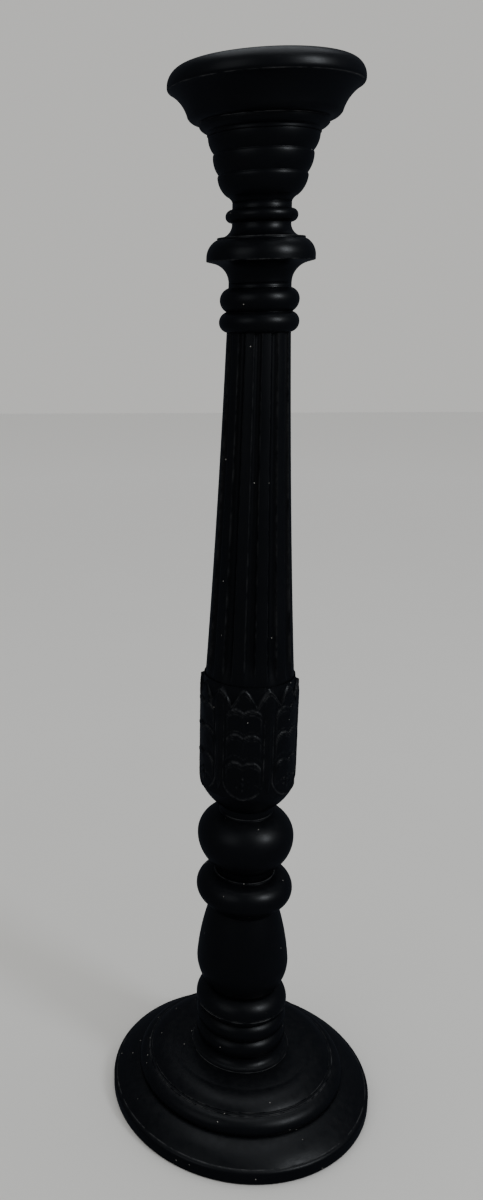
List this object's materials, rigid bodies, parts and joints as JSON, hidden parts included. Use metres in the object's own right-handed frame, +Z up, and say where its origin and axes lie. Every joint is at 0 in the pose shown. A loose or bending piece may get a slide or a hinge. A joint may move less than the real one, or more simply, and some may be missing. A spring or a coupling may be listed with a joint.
{
  "type": "pillar candle holder",
  "caption": "Tall floor-standing pillar candle holder: round stepped base, turned stem, carved leaf cup, fluted column, stacked rings and a dished candle cup with a lift-out pan.",
  "frame": {"origin": "middle of the flat face that the base stands on", "axes": "+Z up along the stem's axis; -Y is the front"},
  "size_m": [0.2482, 0.2482, 0.914],
  "materials": {
    "black_paint": "satin black paint over turned and carved wood",
    "zinc_steel": "zinc-plated steel",
    "pan_steel": "black-coated pressed steel",
    "felt": "black felt"
  },
  "bodies": {
    "stand": {"base_felt": "felt", "base_plinth": "black_paint", "base_dome": "black_paint", "foot_collar": "black_paint", "vase": "black_paint", "torus_ring": "black_paint", "ball": "black_paint", "leaf_cup": "black_paint", "fluted_column": "black_paint", "column_cap": "black_paint", "collar_disc": "black_paint", "bead_neck": "black_paint", "tiered_bell": "black_paint", "candle_cup": "black_paint", "base_screws": "zinc_steel", "lower_rod": "zinc_steel", "upper_rod": "zinc_steel", "coupling_nut": "zinc_steel", "base_washer": "zinc_steel", "base_nut": "zinc_steel", "cup_washer": "zinc_steel", "cup_nut": "zinc_steel"},
    "pan": {"candle_pan": "pan_steel", "candle_spike": "pan_steel"}
  },
  "joints": [
    {"name": "pan_lift", "type": "slide", "parent": "stand", "child": "pan", "axis": [0, 0, 1], "range_m": [0, 0.04]}
  ]
}
